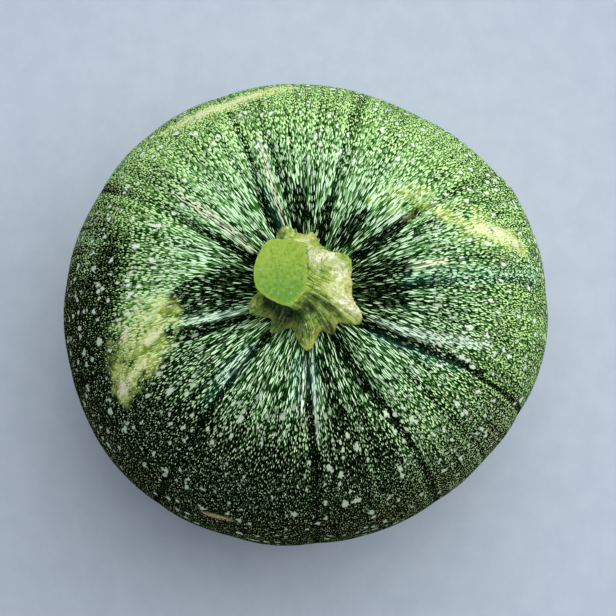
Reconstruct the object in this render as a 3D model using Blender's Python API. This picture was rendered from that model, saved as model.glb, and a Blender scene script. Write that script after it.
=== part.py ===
"""Round zucchini: a squat, ten-lobed squash with its cut five-angled stem.

Metres, +Z up along the stem axis. The fruit stands on a small flat spot at z = 0, round its blossom scar.
Looking down on the stem, +X is to the right and +Y is away. Azimuths run anticlockwise from +X.
"""

import math

import bmesh
import bpy
from mathutils import Vector
from mathutils.bvhtree import BVHTree

MM = 0.001

# Where the stem's axis stands: a little off the middle of the box, which is centred on the origin
AXIS_X = 0.75 * MM
AXIS_Y = 0.7 * MM

# Driving dimensions of the fruit
MEAN_RADIUS = 50.7 * MM
OFF_CENTRE = 1.4 * MM
OFF_CENTRE_AZIMUTH = math.radians(207)
OVAL = 1.26 * MM
OVAL_AZIMUTH = math.radians(7.5)
TREFOIL = 0.62 * MM
TREFOIL_AZIMUTH = math.radians(2.2)
# Places where the outline stands out or is flattened: azimuth and half width in degrees, and height
SWELLS = (
    (31, 7, 0.8 * MM),
    (62, 11, -0.6 * MM),
    (200, 5, 0.4 * MM),
    (250, 10, -0.5 * MM),
    (320, 8, -0.5 * MM),
)
WAIST_HEIGHT = 40.5 * MM
STEM_END_RISE = 44.5 * MM
BLOSSOM_END_DROP = 41.8 * MM
FULLNESS = 0.88

# The sunken stem end, and the dished blossom end with its scar
DIMPLE_DEPTH = 12.0 * MM
DIMPLE_RADIUS = 16.5 * MM
DISH_DEPTH = 3.0 * MM
DISH_RADIUS = 7.0 * MM
SCAR_RADIUS = 5.5 * MM
SCAR_RIM = 0.7 * MM
SCAR_RIM_WIDTH = 1.3 * MM

# Grooves between the lobes: azimuth and how far it bends near the stem, in degrees, and share of full depth
GROOVES = (
    (4, -6, 1.0),
    (35, -1, 1.0),
    (75.3, 0.7, 0.65),
    (113, 7, 1.1),
    (150.8, 2, 0.95),
    (200.5, 6, 1.25),
    (231.8, -2.8, 0.95),
    (272, -3, 1.1),
    (303.7, -7, 0.85),
    (333.5, -9, 1.1),
)
BEND_FULL = 12 * MM
BEND_END = 38 * MM
SHOULDER_GROOVE = 2.0 * MM
WAIST_GROOVE = 0.45 * MM
UNDER_GROOVE = 1.1 * MM
GROOVE_START = 8 * MM
GROOVE_FULL = 15 * MM
UNDER_START = 15 * MM
UNDER_FULL = 30 * MM
LOBE_ROUNDNESS = 2.5

# Shallow creases inside the lobes: azimuth in degrees and depth
CREASES = (
    (26, 0.5 * MM),
    (93, 0.3 * MM),
    (133, 0.6 * MM),
    (174, 0.5 * MM),
    (251, 0.4 * MM),
    (284, 0.5 * MM),
)
CREASE_WIDTH = math.radians(3.2)

# Mesh of the fruit
COLUMNS_PER_LOBE = 8
FRUIT_RINGS = 44
RING_CROWDING = 0.42

# Driving dimensions of the stem
STEM_HEIGHT = 13.5 * MM
STEM_LEAN = Vector((-5.9, 1.6)) * MM
LEAN_CURVE = 1.25
CUT_SLOPE = Vector((-0.10, -0.05))
CUT_DISH = 0.35 * MM
CUT_RIM = 0.35 * MM
FOOT_REACH = 8.6 * MM
FOOT_LIP = 1.0 * MM
FLARE = 2.3
HOLLOW = 1.7 * MM
RIDGE_SHARPNESS = 1.7
TIP_SHARPNESS = 5.0
SKIN_GAP = 0.35 * MM

# Stem ridges: azimuth and reach of the tip on the foot, then of the corner on the cut
RIDGES = (
    (37, 10.2 * MM, 50, 7.8 * MM),
    (114, 13.2 * MM, 110, 6.9 * MM),
    (202, 12.9 * MM, 214, 5.6 * MM),
    (268, 12.5 * MM, 286, 7.0 * MM),
    (326, 12.5 * MM, 332, 6.0 * MM),
)
# Between each ridge and the next: place and height of a rounded bump on the foot, and bulge of the cut's edge
FOOT_BUMPS = ((0.66, 2.3 * MM), (0.5, 1.2 * MM), (0.43, 3.2 * MM), (0.51, 1.8 * MM), (0.45, 0.0))
CUT_BULGES = (0.6 * MM, 1.5 * MM, 0.8 * MM, 0.4 * MM, 0.3 * MM)
BUMP_WIDTH = 0.13

# Mesh of the stem
COLUMNS_PER_RIDGE = 12
CUT_RINGS = 4
WALL_RINGS = 9
UNDER_RINGS = 5


def smoothstep(low, high, value):
    """0 below low, 1 above high, and a smooth rise between them."""
    share = min(1.0, max(0.0, (value - low) / (high - low)))
    return share * share * (3 - 2 * share)


def mix(start, end, share):
    return start + (end - start) * share


def turned_by(azimuth, other):
    """The angle from one azimuth to the other, the short way round."""
    return (other - azimuth + math.pi) % math.tau - math.pi


def across_gap(marks, turn):
    """Where `turn`, one unit a gap, falls between marks round a circle: mark, share of the gap, azimuth."""
    index = int(turn) % len(marks)
    share = turn - int(turn)
    start = math.radians(marks[index])
    span = (math.radians(marks[(index + 1) % len(marks)]) - start) % math.tau
    return index, share, start + span * share


def plan_radius(azimuth):
    """Radius of the fruit's outline at its waist."""
    oval = OVAL * math.cos(2 * (azimuth - OVAL_AZIMUTH))
    trefoil = TREFOIL * math.cos(3 * (azimuth - TREFOIL_AZIMUTH))
    swell = sum(
        height * math.exp(-((turned_by(math.radians(place), azimuth) / math.radians(width)) ** 2))
        for place, width, height in SWELLS
    )
    off_centre = OFF_CENTRE * math.cos(azimuth - OFF_CENTRE_AZIMUTH)
    return MEAN_RADIUS + off_centre + oval + trefoil + swell


def groove_depth(radius, waist_radius, stem_side):
    """Full depth of a groove at this distance from the axis: it fades out at the stem and the flat spot."""
    outward = smoothstep(0.3, 1.0, radius / waist_radius)
    if stem_side:
        return mix(SHOULDER_GROOVE, WAIST_GROOVE, outward) * smoothstep(GROOVE_START, GROOVE_FULL, radius)
    return mix(UNDER_GROOVE, WAIST_GROOVE, outward) * smoothstep(UNDER_START, UNDER_FULL, radius)


def groove_azimuths(down):
    """Azimuths of the grooves, in degrees, at an angle from the top: they bend a little towards the stem."""
    reach = MEAN_RADIUS * math.sin(down) ** FULLNESS
    bent = 1 - smoothstep(BEND_FULL, BEND_END, reach) if down < math.pi / 2 else 0
    return [azimuth + bend * bent for azimuth, bend, _ in GROOVES]


def sunk_share(index, share):
    """How sunk a point between two grooves is: the groove's own share at a groove, 0 at the lobe's crown."""
    near = GROOVES[index][2] if share < 0.5 else GROOVES[(index + 1) % len(GROOVES)][2]
    return near * abs(2 * share - 1) ** LOBE_ROUNDNESS


def crease_depth(azimuth):
    return sum(
        depth * math.exp(-((turned_by(math.radians(place), azimuth) / CREASE_WIDTH) ** 2))
        for place, depth in CREASES
    )


def fruit_point(turn, down):
    """Point of the skin, from the fruit's centre: `turn` counts lobes, `down` is the angle from the top."""
    index, share, azimuth = across_gap(groove_azimuths(down), turn)
    waist_radius = plan_radius(azimuth)
    stem_side = down < math.pi / 2
    radius = waist_radius * math.sin(down) ** FULLNESS
    height = abs(math.cos(down)) ** FULLNESS
    if stem_side:
        height = STEM_END_RISE * height - DIMPLE_DEPTH * math.exp(-((radius / DIMPLE_RADIUS) ** 2))
    else:
        rim = SCAR_RIM * math.exp(-(((radius - SCAR_RADIUS) / SCAR_RIM_WIDTH) ** 2))
        height = DISH_DEPTH * math.exp(-((radius / DISH_RADIUS) ** 2)) - rim - BLOSSOM_END_DROP * height
    point = Vector((radius * math.cos(azimuth), radius * math.sin(azimuth), height))
    depth = groove_depth(radius, waist_radius, stem_side)
    sunk = depth * (sunk_share(index, share) + crease_depth(azimuth) / SHOULDER_GROOVE)
    if point.length > 0:
        point -= point.normalized() * sunk
    # The flat spot that the fruit rests on
    point.z = max(point.z, -WAIST_HEIGHT)
    return point


def add_sphere_mesh(name, columns, rings, place_of):
    """A UV sphere with its points moved: place_of(ring, column) gives each one's place, ring 0 on top."""
    form = bmesh.new()
    bmesh.ops.create_uvsphere(form, u_segments=columns, v_segments=rings, radius=1.0)
    for vertex in form.verts:
        ring = round(math.acos(max(-1.0, min(1.0, vertex.co.z))) / math.pi * rings)
        column = round(math.atan2(vertex.co.y, vertex.co.x) / math.tau * columns) % columns
        vertex.co = place_of(ring, column)
    bmesh.ops.recalc_face_normals(form, faces=form.faces)
    mesh = bpy.data.meshes.new(name)
    form.to_mesh(mesh)
    form.free()
    mesh.shade_smooth()
    return mesh


def add_fruit(collection, root):
    columns = COLUMNS_PER_LOBE * len(GROOVES)

    def place_of(ring, column):
        # Rings crowd towards the two ends, and columns towards the grooves
        step = ring / FRUIT_RINGS
        down = math.pi * (step - RING_CROWDING * math.sin(math.tau * step) / math.tau)
        lobe, within = divmod(column, COLUMNS_PER_LOBE)
        turn = lobe + (1 - math.cos(math.pi * within / COLUMNS_PER_LOBE)) / 2
        return fruit_point(turn, down)

    mesh = add_sphere_mesh("fruit", columns, FRUIT_RINGS, place_of)
    fruit = bpy.data.objects.new("fruit", mesh)
    fruit.location = (AXIS_X, AXIS_Y, WAIST_HEIGHT)
    fruit.parent = root
    collection.objects.link(fruit)
    return fruit


def skin_below(fruit):
    """A function that gives the skin's height at a place seen from above, both from the fruit's centre."""
    form = bmesh.new()
    form.from_mesh(fruit.data)
    bmesh.ops.triangulate(form, faces=form.faces)
    skin = BVHTree.FromBMesh(form)
    form.free()

    def height_at(place):
        above = Vector((place.x, place.y, 2 * STEM_END_RISE))
        return skin.ray_cast(above, Vector((0, 0, -1)))[0].z

    return height_at


def polar(azimuth, reach):
    return Vector((math.cos(azimuth), math.sin(azimuth))) * reach


def foot_point(index, share, azimuth):
    """Star outline of the stem's foot: a tip at each ridge, and a rounded bump between two of them."""
    nearest = index if share < 0.5 else (index + 1) % len(RIDGES)
    towards_tip = abs(math.cos(math.pi * share)) ** TIP_SHARPNESS
    middle, height = FOOT_BUMPS[index]
    bump = height * math.exp(-(((share - middle) / BUMP_WIDTH) ** 2))
    return polar(azimuth, mix(FOOT_REACH, RIDGES[nearest][1], towards_tip) + bump)


def cut_point(index, share):
    """Outline of the cut, from its centre: a corner at each ridge, and a bulged edge between two of them."""
    corners = [polar(math.radians(azimuth), reach) for _, _, azimuth, reach in RIDGES]
    edge = corners[index].lerp(corners[(index + 1) % len(corners)], share)
    return edge + edge.normalized() * CUT_BULGES[index] * 4 * share * (1 - share)


def stem_outlines(turn):
    """One column of the stem: its points on the outlines of foot and cut, and how near a ridge it is."""
    index, share, azimuth = across_gap([ridge[0] for ridge in RIDGES], turn)
    nearness = abs(math.cos(math.pi * share)) ** RIDGE_SHARPNESS
    return foot_point(index, share, azimuth), cut_point(index, share), nearness


def cut_height(across, foot_height):
    """Height of the slanting cut, at a place given from the cut's centre."""
    return foot_height + STEM_HEIGHT + CUT_SLOPE.dot(across)


def wall_point(turn, rise, skin_height):
    """Point on the stem's side: `rise` is 0 at the top of the foot's lip and 1 at the cut."""
    foot, cut, nearness = stem_outlines(turn)
    across = cut.lerp(foot, (1 - rise) ** FLARE)
    across -= across.normalized() * HOLLOW * (1 - nearness) * 4 * rise * (1 - rise)
    place = across + STEM_LEAN * rise**LEAN_CURVE
    lip = skin_height(foot) + SKIN_GAP + FOOT_LIP
    top = cut_height(across, skin_height(Vector((0, 0))))
    return place.to_3d() + Vector((0, 0, mix(lip, top, rise)))


def add_stem(collection, root, fruit):
    columns = COLUMNS_PER_RIDGE * len(RIDGES)
    rings = CUT_RINGS + 1 + WALL_RINGS + UNDER_RINGS
    skin_height = skin_below(fruit)
    foot_height = skin_height(Vector((0, 0)))

    def place_of(ring, column):
        turn = column / COLUMNS_PER_RIDGE
        foot, cut, _ = stem_outlines(turn)
        if ring <= CUT_RINGS:
            # The cut face, a little dished, up to the soft edge round it
            share = ring / CUT_RINGS
            across = cut * share * (1 - CUT_RIM / cut.length)
            height = cut_height(across, foot_height) - CUT_DISH * (1 - share**2)
            return (STEM_LEAN + across).to_3d() + Vector((0, 0, height))
        if ring <= CUT_RINGS + 1 + WALL_RINGS:
            below_edge = (ring - CUT_RINGS - 1) / WALL_RINGS
            return wall_point(turn, (1 - CUT_RIM / STEM_HEIGHT) * (1 - below_edge), skin_height)
        # The underside, which lies on the skin
        under = foot * (rings - ring) / UNDER_RINGS
        return under.to_3d() + Vector((0, 0, skin_height(under) + SKIN_GAP))

    mesh = add_sphere_mesh("stem", columns, rings, place_of)
    mesh.set_sharp_from_angle(angle=math.radians(50))
    stem = bpy.data.objects.new("stem", mesh)
    stem.location = (AXIS_X, AXIS_Y, WAIST_HEIGHT)
    stem.parent = root
    collection.objects.link(stem)
    return stem


def give_material(piece, name, colour, roughness):
    material = bpy.data.materials.new(name)
    material.use_nodes = True
    shader = material.node_tree.nodes["Principled BSDF"]
    shader.inputs["Base Color"].default_value = (*colour, 1.0)
    shader.inputs["Roughness"].default_value = roughness
    shader.inputs["Metallic"].default_value = 0.0
    piece.data.materials.append(material)


def main():
    for old in list(bpy.data.objects):
        bpy.data.objects.remove(old)
    collection = bpy.data.collections.new("round_zucchini")
    bpy.context.scene.collection.children.link(collection)
    root = bpy.data.objects.new("round_zucchini_root", None)
    collection.objects.link(root)
    fruit = add_fruit(collection, root)
    stem = add_stem(collection, root, fruit)
    give_material(fruit, "dark_green_rind", (0.035, 0.115, 0.03), 0.42)
    give_material(stem, "yellow_green_stem", (0.33, 0.46, 0.09), 0.55)


main()
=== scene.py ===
"""Round zucchini, dressed: its flecked and grooved rind with pale patches, and its ridged, cut stem."""

import math

import bpy
import numpy as np
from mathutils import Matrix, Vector, noise
from mathutils.bvhtree import BVHTree


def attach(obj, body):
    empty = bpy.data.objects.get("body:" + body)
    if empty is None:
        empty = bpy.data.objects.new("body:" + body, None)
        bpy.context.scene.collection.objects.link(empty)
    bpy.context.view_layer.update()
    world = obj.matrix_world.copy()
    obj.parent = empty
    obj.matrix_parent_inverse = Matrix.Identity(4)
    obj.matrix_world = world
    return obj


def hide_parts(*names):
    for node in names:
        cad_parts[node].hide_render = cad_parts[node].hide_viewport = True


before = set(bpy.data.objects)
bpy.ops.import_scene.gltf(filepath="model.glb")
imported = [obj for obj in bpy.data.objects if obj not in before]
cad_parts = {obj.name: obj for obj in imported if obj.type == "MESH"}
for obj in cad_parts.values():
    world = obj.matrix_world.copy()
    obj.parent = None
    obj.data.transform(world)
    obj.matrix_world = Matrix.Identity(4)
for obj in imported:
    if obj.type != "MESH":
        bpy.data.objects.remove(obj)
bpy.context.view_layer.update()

MM = 0.001

# The fruit's form, in metres: the same as the CAD fruit's
AXIS = np.array([0.75, 0.7, 40.5]) * MM
MEAN_RADIUS = 50.7 * MM
OFF_CENTRE = 1.4 * MM
OFF_CENTRE_AZIMUTH = math.radians(207)
OVAL = 1.26 * MM
OVAL_AZIMUTH = math.radians(7.5)
TREFOIL = 0.62 * MM
TREFOIL_AZIMUTH = math.radians(2.2)

# Broad swells of the outline: azimuth, half width in degrees, and height
SWELLS = (
    (31, 7, 0.8 * MM),
    (62, 11, -0.6 * MM),
    (200, 5, 0.4 * MM),
    (250, 10, -0.5 * MM),
    (320, 8, -0.5 * MM),
)

# The fruit's profile: its waist, its two ends, the dimple at the stem and the dish of the blossom scar
WAIST_HEIGHT = 40.5 * MM
STEM_END_RISE = 44.5 * MM
BLOSSOM_END_DROP = 41.8 * MM
FULLNESS = 0.88
DIMPLE_DEPTH = 12.0 * MM
DIMPLE_RADIUS = 16.5 * MM
DISH_DEPTH = 3.0 * MM
DISH_RADIUS = 7.0 * MM
SCAR_RADIUS = 5.5 * MM
SCAR_RIM = 0.7 * MM
SCAR_RIM_WIDTH = 1.3 * MM

# Grooves between the lobes: azimuth, bend near the stem, and share of full depth
GROOVES = (
    (4, -6, 1.0),
    (35, -1, 1.0),
    (75.3, 0.7, 0.65),
    (113, 7, 1.1),
    (150.8, 2, 0.95),
    (200.5, 6, 1.25),
    (231.8, -2.8, 0.95),
    (272, -3, 1.1),
    (303.7, -7, 0.85),
    (333.5, -9, 1.1),
)
BEND_FULL = 12 * MM
BEND_END = 38 * MM
SHOULDER_GROOVE = 2.0 * MM
WAIST_GROOVE = 0.45 * MM
UNDER_GROOVE = 1.1 * MM
GROOVE_START = 8 * MM
GROOVE_FULL = 15 * MM
UNDER_START = 15 * MM
UNDER_FULL = 30 * MM
LOBE_ROUNDNESS = 2.5

# Shallow creases inside the lobes: azimuth and depth
CREASES = (
    (26, 0.5 * MM),
    (93, 0.3 * MM),
    (133, 0.6 * MM),
    (174, 0.5 * MM),
    (251, 0.4 * MM),
    (284, 0.5 * MM),
)
CREASE_WIDTH = math.radians(3.2)

# Fine relief of the rind
LUMP_SIZE = 14 * MM
LUMP_HEIGHT = 0.2 * MM
RIB_COUNT = 11
RIB_HEIGHT = 0.22 * MM
RIBS_FADE = (14 * MM, 34 * MM)

# Mesh of the rind
COLUMNS_PER_LOBE = 40
RIND_ROWS = 219
ROW_CROWDING = 0.3

# The stem's form, the same as the CAD stem's
STEM_HEIGHT = 13.47 * MM
STEM_LEAN = Vector((-5.9, 1.6)) * MM
LEAN_CURVE = 1.25
CUT_SLOPE = Vector((-0.10, -0.05))
CUT_DISH = 0.35 * MM
CUT_RIM = 0.3 * MM
FOOT_REACH = 8.6 * MM
FOOT_LIP = 1.35 * MM
FOOT_SINK = 0.6 * MM
FLARE = 2.3
HOLLOW = 1.7 * MM
RIDGE_SHARPNESS = 1.7
TIP_SHARPNESS = 5.0

# Ridges of the stem: azimuth and reach of the foot's tip, azimuth and reach of the cut's corner
RIDGES = (
    (37, 10.2 * MM, 50, 7.8 * MM),
    (114, 13.2 * MM, 110, 6.9 * MM),
    (202, 12.9 * MM, 214, 5.6 * MM),
    (268, 12.5 * MM, 286, 7.0 * MM),
    (326, 12.5 * MM, 332, 6.0 * MM),
)

# Between two ridges: the foot's bump, as a share of the way and its height, and how far the cut bulges
FOOT_BUMPS = ((0.66, 2.3 * MM), (0.5, 1.2 * MM), (0.43, 3.2 * MM), (0.51, 1.8 * MM), (0.45, 0.0 * MM))
CUT_BULGES = (0.6 * MM, 1.5 * MM, 0.8 * MM, 0.4 * MM, 0.3 * MM)
BUMP_WIDTH = 0.13

# Fine relief of the stem. Its pale glints, painted highlights on the side facing the light, and its dark
# hollows, painted shade in the hollows and under the cut's overhang: azimuth, share of the height, and half
# the size in each of the two.
STRIA_HEIGHT = 0.15 * MM
KNOB_SIZE = 1.6 * MM
KNOB_HEIGHT = 0.42 * MM
WRINKLE_SIZE = 0.7 * MM
WRINKLE_HEIGHT = 0.22 * MM
# Painted highlights: pale blots on the right side of the stem, which faces the light
STEM_GLINTS = (
    (44, 0.45, 15, 0.18),
    (14, 0.16, 14, 0.14),
    (-22, 0.26, 15, 0.24),
    (92, 0.35, 10, 0.25),
    (-20, 0.08, 8, 0.1),
    (28, 0.74, 16, 0.2),
    (36, 0.58, 14, 0.2),
)
# Painted shade in the hollows between the ridges and on the lower-left side, under the cut's overhang and
# away from the light
STEM_SHADE_BLOTS = (
    (297, 0.06, 7, 0.14),
    (63, 0.1, 7, 0.12),
    (290, 0.48, 9, 0.2),
    (316, 0.4, 6, 0.16),
    (272, 0.68, 12, 0.2),
    (253, 0.58, 12, 0.3),
    (238, 0.36, 12, 0.34),
    (222, 0.3, 13, 0.3),
    (205, 0.45, 13, 0.22),
    (218, 0.75, 32, 0.3),
    (245, 0.8, 20, 0.2),
)

# Mesh of the stem
STEM_COLUMNS_PER_RIDGE = 80
CUT_ROWS = 16
WALL_ROWS = 70
UNDER_ROWS = 6

# Lightness of each lobe at its shoulder and at its waist, and how much it loses beside the stem: the rind's
# own tone, with painted shade that darkens most the lobes of the lower side, away from the light. The first
# lobe is the one after the first groove. Distances are in millimetres.
LOBE_TONES_AND_SHADE = (
    (0.45, 0.5, 0.35),
    (0.6, 0.66, 0.35),
    (0.5, 0.63, 0.35),
    (0.7, 0.65, 0.35),
    (0.75, 0.1, 0.4),
    (0.2, -0.82, 0.08),
    (0.18, -0.95, 0.02),
    (0.14, -0.3, 0.15),
    (0.44, 0.03, 0.28),
    (0.2, 0.38, 0.22),
)
BESIDE_STEM = (13, 24)
SHOULDER_AT = 22
WAIST_AT = 54

# How dark the painted shade along each groove is towards the waist and near the stem. Distances are in
# millimetres.
GROOVE_SHADE_LINES = (0.25, 0.25, 0.25, 0.3, 0.45, 0.75, 0.95, 1.0, 0.75, 0.65)
GROOVE_SHADE_NEAR_STEM = 0.75
GROOVE_SHADE_FADES = (16, 32)
GROOVE_SHADE_EDGE = (0.1, 1.1)

# Markings of the rind, and light and shade painted on it. A stroke is a line of places: azimuth, millimetres
# from the stem's end along the rind, and half width in millimetres.
CREAM_PATCHES = (
    ((31, 31, 1.0), (24, 34.5, 1.9), (19.5, 39.5, 2.5), (16.3, 44.5, 2.7), (13.5, 49, 2.4), (12, 52.5, 1.0)),
    (
        (189.5, 29, 3.6),
        (192, 31, 5.8),
        (197, 34.5, 6.4),
        (201.5, 38, 6.0),
        (205, 41.5, 5.4),
        (208, 44.5, 3.6),
        (209.5, 47, 1.0),
    ),
    ((132, 53.5, 1.2), (125, 51.5, 3.4), (116, 51, 4), (107, 52, 4), (100, 53, 3.6), (93, 55, 1.2)),
)
FAINT_PATCHES = (
    (
        (54, 23, 2.0),
        (46, 27, 5.0),
        (37, 30, 5.8),
        (28, 33.5, 5.4),
        (21, 38, 5.0),
        (16, 45, 4.5),
        (13, 51, 3.0),
    ),
    ((187, 28, 3.0), (192, 34, 6.5), (199, 41, 7.0)),
)
FAINT_SHARE = 0.55
PATCH_HEARTS = (
    ((21, 37, 0.5), (18.5, 41.5, 1.3), (16, 45, 1.3), (13.5, 49, 0.7)),
    ((205.5, 43, 1.0), (208, 44.5, 1.5), (209.5, 46, 0.6)),
    ((203.5, 36, 0.4), (207, 42.5, 0.9)),
    ((196, 30.5, 0.5), (198.5, 34.5, 0.9)),
    ((192, 38, 0.8), (195, 40, 1.0)),
    ((126, 51.5, 1.0), (116, 51, 1.6), (104, 52, 1.4)),
)
PATCH_VEINS = (
    ((198.5, 31, 0.4), (200, 33.5, 0.7), (201, 37, 0.5)),
    ((201.3, 38.5, 0.5), (205, 42.3, 0.6)),
    ((190, 27.6, 1.0), (191, 28.4, 1.0)),
    ((193.2, 32.6, 0.8), (193.8, 33, 0.8)),
    ((196, 41, 0.5), (199, 43.5, 0.9)),
    ((42, 29, 1.0), (36, 28.5, 1.4), (31, 30, 0.8)),
    ((14, 47, 0.6), (13, 50, 0.9)),
)
# Painted highlights: warm pale streaks on the flanks of grooves beside the stem
WARM_HIGHLIGHTS = (
    ((112.5, 14, 0.3), (110.5, 18.6, 0.6), (110, 24.4, 0.7), (108.7, 31.7, 0.6), (108, 36, 0.3)),
    ((147, 14, 0.4), (145.8, 18, 0.9), (144.6, 23, 1.0), (144.2, 27, 0.9), (144, 34, 0.4)),
    ((10.5, 20.5, 0.4), (10.6, 24, 0.8), (10.8, 28.5, 0.5)),
)
# Painted reflection of the bluish sky: pale streaks on the flanks of grooves beside the stem
SKY_REFLECTIONS = (
    ((200.5, 13.5, 0.3), (199, 18, 0.6), (197, 22.5, 0.9), (195.5, 26, 0.6)),
    ((271, 12.5, 0.3), (272, 16, 0.5), (272.5, 20, 0.6), (273.5, 27, 0.6), (273.5, 34, 0.3)),
    ((267, 16, 0.4), (266.5, 22, 0.6), (266.5, 27, 0.4)),
    ((227, 18, 0.4), (227, 22, 0.9), (228, 26, 0.6)),
    ((39.5, 20, 0.4), (38.8, 23, 0.7), (38.5, 26, 0.4)),
    ((333, 15, 0.4), (334.5, 21.5, 1.0), (337, 27, 1.4), (340.5, 34, 1.4), (343, 40, 0.8)),
)
# Darker places, most of them beside the stem: they darken the rind and make its flecks fewer and smaller
DARK_MARKS = (
    ((153, 11, 1.4), (154, 15, 1.4)),
    ((175, 11, 2.6), (181, 17, 4.6), (185, 22, 4.8), (187.5, 25.5, 3.2), (190, 29, 1.2)),
    ((203.5, 13, 0.6), (202, 18, 0.8), (200, 24, 0.8), (198, 31, 0.6)),
    ((133, 13, 0.6), (134, 16, 0.6)),
    ((98, 13, 1.4), (97, 17, 1.8), (97, 21, 1.0)),
    ((79, 11, 1.6), (78, 16, 1.6), (77, 19, 0.8)),
    ((57, 12, 1.6), (55, 17, 1.8), (53, 20, 0.8)),
    ((34, 12, 1.2), (34, 18, 1.6), (35, 24, 1.0), (36, 29, 0.5)),
    ((15, 11, 1.8), (13, 16, 2.2), (10, 20, 1.2)),
    ((352, 11, 1.6), (352, 16, 2.2), (353, 20, 1.2)),
    ((119, 12, 1.0), (118, 17, 1.4), (117, 23, 0.8)),
    ((326, 12, 1.2), (329, 20, 1.3), (333, 30, 0.9), (335, 42, 0.6)),
    ((298, 12, 1.0), (297, 18, 1.2), (299, 26, 0.8), (302, 36, 0.4)),
    ((278, 15, 0.8), (282, 22, 1.2), (284, 34, 2.2), (284, 50, 2.8), (284, 64, 3.0)),
    ((292, 30, 0.6), (293, 38, 1.2), (294, 60, 1.8)),
)
# Painted shade on the left of the waist, on the side away from the light
SIDE_SHADE_AREAS = (((170, 42, 5), (181, 46, 8), (189, 55, 13), (192, 72, 16)),)
# Painted reflection of the bluish sky, in bands on the flanks of grooves
SKY_SHEEN_BANDS = (
    ((4, 20, 1.4), (5, 34, 2.2), (6, 56, 2.2)),
    ((114.5, 11, 0.8), (114.5, 17, 1.2), (113.5, 23, 0.8)),
    ((271, 12, 1.2), (271.5, 17, 2.0), (272, 23, 1.2)),
    ((262, 14, 1.0), (262, 20, 1.6), (263, 26, 1.0)),
    ((323, 17, 1.0), (328, 26, 1.4), (332, 36, 1.2)),
    ((226, 17, 1.2), (227, 23, 2.0), (228, 30, 1.4)),
    ((199, 13, 0.8), (198, 20, 1.0)),
)
SCAR = (((244, 58.9, 0.5), (247, 58.4, 0.8), (250, 57.9, 0.5)),)


def smoothstep(low, high, value):
    """0 below low, 1 above high, and a smooth rise between them."""
    share = np.clip((value - low) / (high - low), 0.0, 1.0)
    return share * share * (3 - 2 * share)


def mix(start, end, share):
    return start + (end - start) * share


def turned_by(azimuth, other):
    """The angle from one azimuth to the other, the short way round."""
    return (other - azimuth + math.pi) % math.tau - math.pi


def bell(distance):
    return np.exp(-(distance**2))


def plan_radius(azimuth):
    """Radius of the fruit's outline at its waist."""
    radius = MEAN_RADIUS + OFF_CENTRE * np.cos(azimuth - OFF_CENTRE_AZIMUTH)
    radius = radius + OVAL * np.cos(2 * (azimuth - OVAL_AZIMUTH))
    radius = radius + TREFOIL * np.cos(3 * (azimuth - TREFOIL_AZIMUTH))
    for place, width, height in SWELLS:
        radius = radius + height * bell(turned_by(math.radians(place), azimuth) / math.radians(width))
    return radius


def groove_azimuths(down):
    """Azimuths of the grooves at each angle from the top: they bend a little towards the stem."""
    reach = MEAN_RADIUS * np.sin(down) ** FULLNESS
    bent = np.where(down < math.pi / 2, 1 - smoothstep(BEND_FULL, BEND_END, reach), 0)
    return [np.radians(azimuth + bend * bent) for azimuth, bend, _ in GROOVES]


def rind_grid():
    """The rind's points in rows and columns: angle from the top, lobe, share of the lobe, and azimuth."""
    step = np.arange(1, RIND_ROWS + 1) / (RIND_ROWS + 1)
    down = math.pi * (step - ROW_CROWDING * np.sin(math.tau * step) / math.tau)
    column = np.arange(COLUMNS_PER_LOBE * len(GROOVES))
    lobe = column // COLUMNS_PER_LOBE
    share = (1 - np.cos(math.pi * (column % COLUMNS_PER_LOBE) / COLUMNS_PER_LOBE)) / 2
    grooves = np.array(groove_azimuths(down))
    start = grooves[lobe].T
    span = (grooves[(lobe + 1) % len(GROOVES)].T - start) % math.tau
    azimuth = start + span * share
    return down[:, None] + 0 * azimuth, lobe + 0 * azimuth.astype(int), share + 0 * azimuth, azimuth


def profile(down, waist_radius):
    """Distance from the axis and height from the waist, before the grooves."""
    reach = waist_radius * np.sin(down) ** FULLNESS
    height = np.abs(np.cos(down)) ** FULLNESS
    rim = SCAR_RIM * bell((reach - SCAR_RADIUS) / SCAR_RIM_WIDTH)
    above = STEM_END_RISE * height - DIMPLE_DEPTH * bell(reach / DIMPLE_RADIUS)
    below = DISH_DEPTH * bell(reach / DISH_RADIUS) - rim - BLOSSOM_END_DROP * height
    return reach, np.where(down < math.pi / 2, above, below)


def groove_sink(down, lobe, share, azimuth, reach, waist_radius):
    """How far the rind is sunk by the grooves and by the shallow creases inside the lobes."""
    outward = smoothstep(0.3, 1.0, reach / waist_radius)
    above = mix(SHOULDER_GROOVE, WAIST_GROOVE, outward) * smoothstep(GROOVE_START, GROOVE_FULL, reach)
    below = mix(UNDER_GROOVE, WAIST_GROOVE, outward) * smoothstep(UNDER_START, UNDER_FULL, reach)
    depth = np.where(down < math.pi / 2, above, below)
    strength = np.array([groove[2] for groove in GROOVES])
    near = np.where(share < 0.5, strength[lobe], strength[(lobe + 1) % len(GROOVES)])
    crease = sum(
        deep * bell(turned_by(math.radians(place), azimuth) / CREASE_WIDTH) for place, deep in CREASES
    )
    return depth * (near * np.abs(2 * share - 1) ** LOBE_ROUNDNESS + crease / SHOULDER_GROOVE)


def noise_over(points):
    """Smooth noise, about -1 to 1, at each of an array of points."""
    flat = points.reshape(-1, 3)
    return np.array([noise.noise(Vector(point)) for point in flat]).reshape(points.shape[:-1])


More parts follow.
